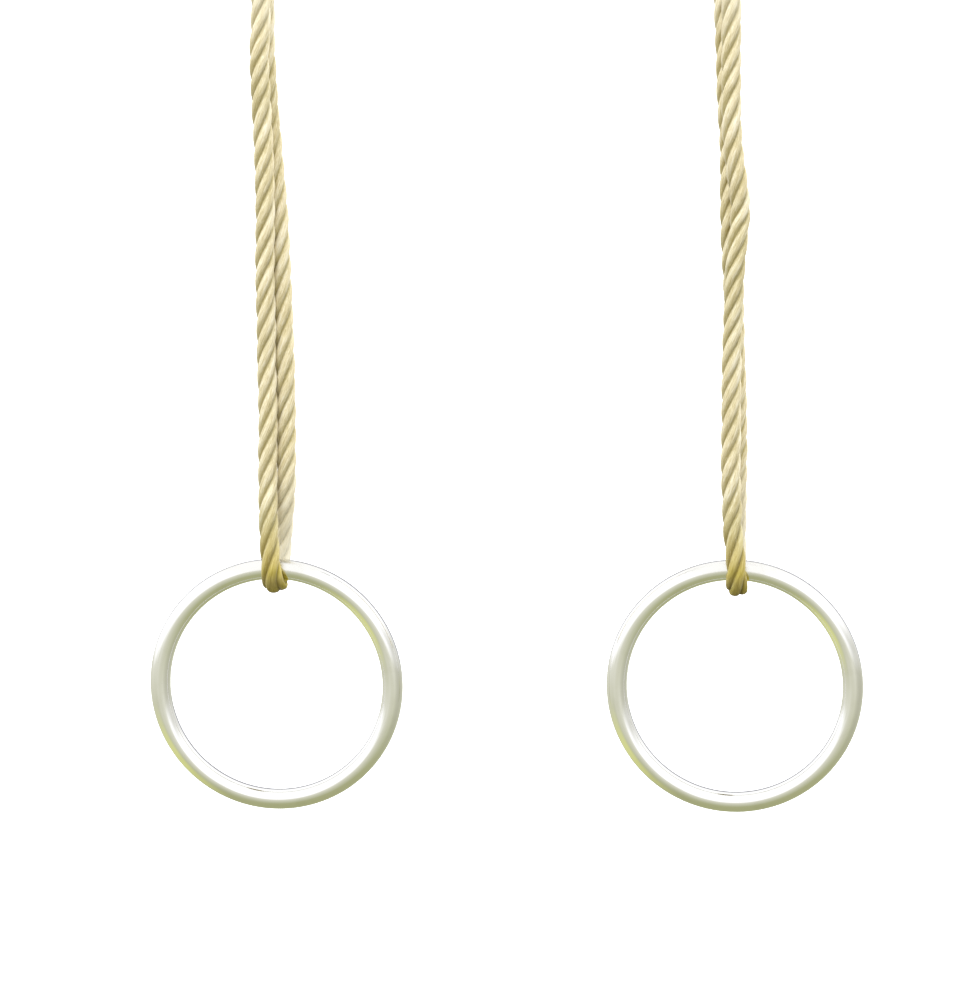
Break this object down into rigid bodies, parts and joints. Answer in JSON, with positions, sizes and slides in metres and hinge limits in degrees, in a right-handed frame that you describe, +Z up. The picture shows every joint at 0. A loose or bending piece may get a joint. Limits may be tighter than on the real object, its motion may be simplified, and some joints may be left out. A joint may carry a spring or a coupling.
{
  "type": "gymnastic rings",
  "caption": "Pair of polished steel gymnastic rings on doubled laid ropes, each hung from a ceiling plate by a ball swivel, snap hook and thimble.",
  "frame": {"origin": "on the ceiling plane, midway between the two ceiling plates", "axes": "+Z up into the ceiling, +X towards the right ring, -Y towards the front, where the picture was taken from"},
  "size_m": [0.6004, 0.09, 1.023],
  "materials": {
    "polished_steel": "polished",
    "zinc_plate": "satin",
    "bearing_steel": "polished",
    "brass": "satin",
    "rope_fibre": "matte",
    "twine": "matte"
  },
  "bodies": {
    "ceiling": {"ceiling_plate_left": "zinc_plate", "ceiling_plate_right": "zinc_plate", "pivot_bolt_left": "zinc_plate", "pivot_bolt_right": "zinc_plate", "pivot_nut_left": "zinc_plate", "pivot_nut_right": "zinc_plate"},
    "swing_eye_left": {"pivot_bush_left": "brass", "swing_eye_left": "zinc_plate", "swivel_cup_left": "zinc_plate", "lower_race_left": "bearing_steel", "bearing_ball_left_1": "bearing_steel", "bearing_ball_left_2": "bearing_steel", "bearing_ball_left_3": "bearing_steel", "bearing_ball_left_4": "bearing_steel", "bearing_ball_left_5": "bearing_steel", "bearing_ball_left_6": "bearing_steel", "ball_cage_left": "brass"},
    "swing_eye_right": {"pivot_bush_right": "brass", "swing_eye_right": "zinc_plate", "swivel_cup_right": "zinc_plate", "lower_race_right": "bearing_steel", "bearing_ball_right_1": "bearing_steel", "bearing_ball_right_2": "bearing_steel", "bearing_ball_right_3": "bearing_steel", "bearing_ball_right_4": "bearing_steel", "bearing_ball_right_5": "bearing_steel", "bearing_ball_right_6": "bearing_steel", "ball_cage_right": "brass"},
    "hook_left": {"upper_race_left": "bearing_steel", "swivel_nut_left": "zinc_plate", "nut_pin_left": "bearing_steel", "snap_hook_left": "zinc_plate", "gate_pin_left": "bearing_steel"},
    "hook_right": {"upper_race_right": "bearing_steel", "swivel_nut_right": "zinc_plate", "nut_pin_right": "bearing_steel", "snap_hook_right": "zinc_plate", "gate_pin_right": "bearing_steel"},
    "gate_left": {"gate_left": "zinc_plate", "gate_spring_left": "bearing_steel"},
    "gate_right": {"gate_right": "zinc_plate", "gate_spring_right": "bearing_steel"},
    "rope_left": {"thimble_left": "zinc_plate", "seizing_left": "twine", "rope_left": "rope_fibre"},
    "rope_right": {"thimble_right": "zinc_plate", "seizing_right": "twine", "rope_right": "rope_fibre"},
    "ring_left": {"ring_left": "polished_steel"},
    "ring_right": {"ring_right": "polished_steel"}
  },
  "joints": [
    {"name": "sway_left", "type": "hinge", "parent": "ceiling", "child": "swing_eye_left", "pos_m": [-0.193, 0, -0.026], "axis": [0, 1, 0], "range_deg": [-5, 45]},
    {"name": "sway_right", "type": "hinge", "parent": "ceiling", "child": "swing_eye_right", "pos_m": [0.193, 0, -0.026], "axis": [0, -1, 0], "range_deg": [-5, 45]},
    {"name": "swivel_left", "type": "hinge", "parent": "swing_eye_left", "child": "hook_left", "pos_m": [-0.193, 0, -0.0881], "axis": [0, 0, -1], "continuous": true},
    {"name": "swivel_right", "type": "hinge", "parent": "swing_eye_right", "child": "hook_right", "pos_m": [0.193, 0, -0.0881], "axis": [0, 0, 1], "continuous": true},
    {"name": "gate_swing_left", "type": "hinge", "parent": "hook_left", "child": "gate_left", "pos_m": [-0.213, 0, -0.1264], "axis": [0, -1, 0], "range_deg": [0, 30], "stiffness_Nm_per_rad": 0.04, "springref_deg": -34.38},
    {"name": "gate_swing_right", "type": "hinge", "parent": "hook_right", "child": "gate_right", "pos_m": [0.213, 0, -0.1264], "axis": [0, 1, 0], "range_deg": [0, 30], "stiffness_Nm_per_rad": 0.04, "springref_deg": -34.38},
    {"name": "swing_left", "type": "hinge", "parent": "hook_left", "child": "rope_left", "pos_m": [-0.193, 0, -0.1994], "axis": [1, 0, 0], "range_deg": [-60, 60]},
    {"name": "swing_right", "type": "hinge", "parent": "hook_right", "child": "rope_right", "pos_m": [0.193, 0, -0.1994], "axis": [1, 0, 0], "range_deg": [-60, 60]},
    {"name": "tilt_left", "type": "hinge", "parent": "rope_left", "child": "ring_left", "pos_m": [-0.193, 0, -0.81716], "axis": [1, 0, 0], "range_deg": [-90, 90]},
    {"name": "tilt_right", "type": "hinge", "parent": "rope_right", "child": "ring_right", "pos_m": [0.193, 0, -0.81716], "axis": [1, 0, 0], "range_deg": [-90, 90]}
  ]
}
